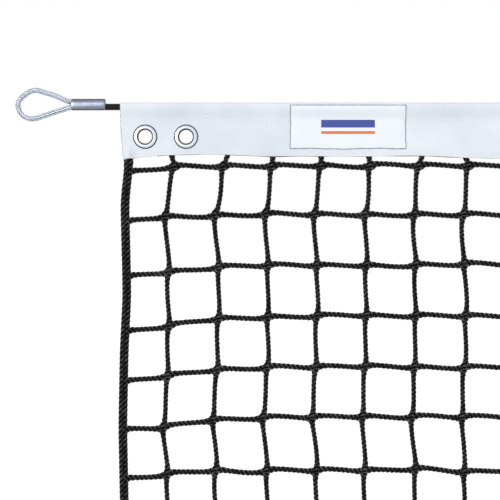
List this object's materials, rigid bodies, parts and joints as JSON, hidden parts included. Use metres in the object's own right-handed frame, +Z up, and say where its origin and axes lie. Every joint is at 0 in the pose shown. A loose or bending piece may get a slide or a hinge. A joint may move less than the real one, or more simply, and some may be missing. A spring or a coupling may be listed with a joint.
{
  "type": "tennis net",
  "caption": "Full-size court net of knotted black cord under a white folded headband, on a jacketed steel cable with a looped eye at each end.",
  "frame": {"origin": "centre of the left loop's eye, where the net hangs on its post", "axes": "+X along the net from the left post to the right, +Y away from the face with the label, +Z up"},
  "size_m": [12.8876, 0.0095, 1.0737],
  "materials": {
    "galvanised_wire": "zinc-coated stranded wire, dull bright",
    "black_pvc": "extruded, satin black",
    "swaged_aluminium": "pressed, satin",
    "white_polyester": "herringbone-woven, cool white",
    "white_thread": "sewing thread",
    "label_fabric": "smooth satin-woven label with two plain printed stripes",
    "grey_thread": "sewing thread, grey",
    "nickel_plate": "nickel-plated brass, bright",
    "black_cord": "braided cord, matt black",
    "black_rope": "braided rope, matt black"
  },
  "bodies": {
    "cable": {"wire_rope": "galvanised_wire", "cable_jacket": "black_pvc", "loop_left": "galvanised_wire", "loop_right": "galvanised_wire", "ferrule_left": "swaged_aluminium", "ferrule_right": "swaged_aluminium"},
    "band": {"headband": "white_polyester", "channel_seam": "white_thread", "edge_seam": "white_thread", "label": "label_fabric", "label_stitching": "grey_thread", "eyelet_left_end": "nickel_plate", "eyelet_left_inner": "nickel_plate", "eyelet_right_inner": "nickel_plate", "eyelet_right_end": "nickel_plate", "washer_left_end": "nickel_plate", "washer_left_inner": "nickel_plate", "washer_right_inner": "nickel_plate", "washer_right_end": "nickel_plate"},
    "netting": {"top_cord": "black_cord", "mesh_rows": "black_cord", "mesh_columns": "black_cord", "side_rope_left": "black_rope", "side_rope_right": "black_rope", "bottom_rope": "black_rope"}
  },
  "joints": [
    {"name": "band_slide", "type": "slide", "parent": "cable", "child": "band", "axis": [1, 0, 0], "range_m": [-0.013, 0.013]},
    {"name": "net_swing", "type": "hinge", "parent": "band", "child": "netting", "pos_m": [6.428, 0, -0.05026], "axis": [1, 0, 0], "range_deg": [-90, 90]}
  ]
}
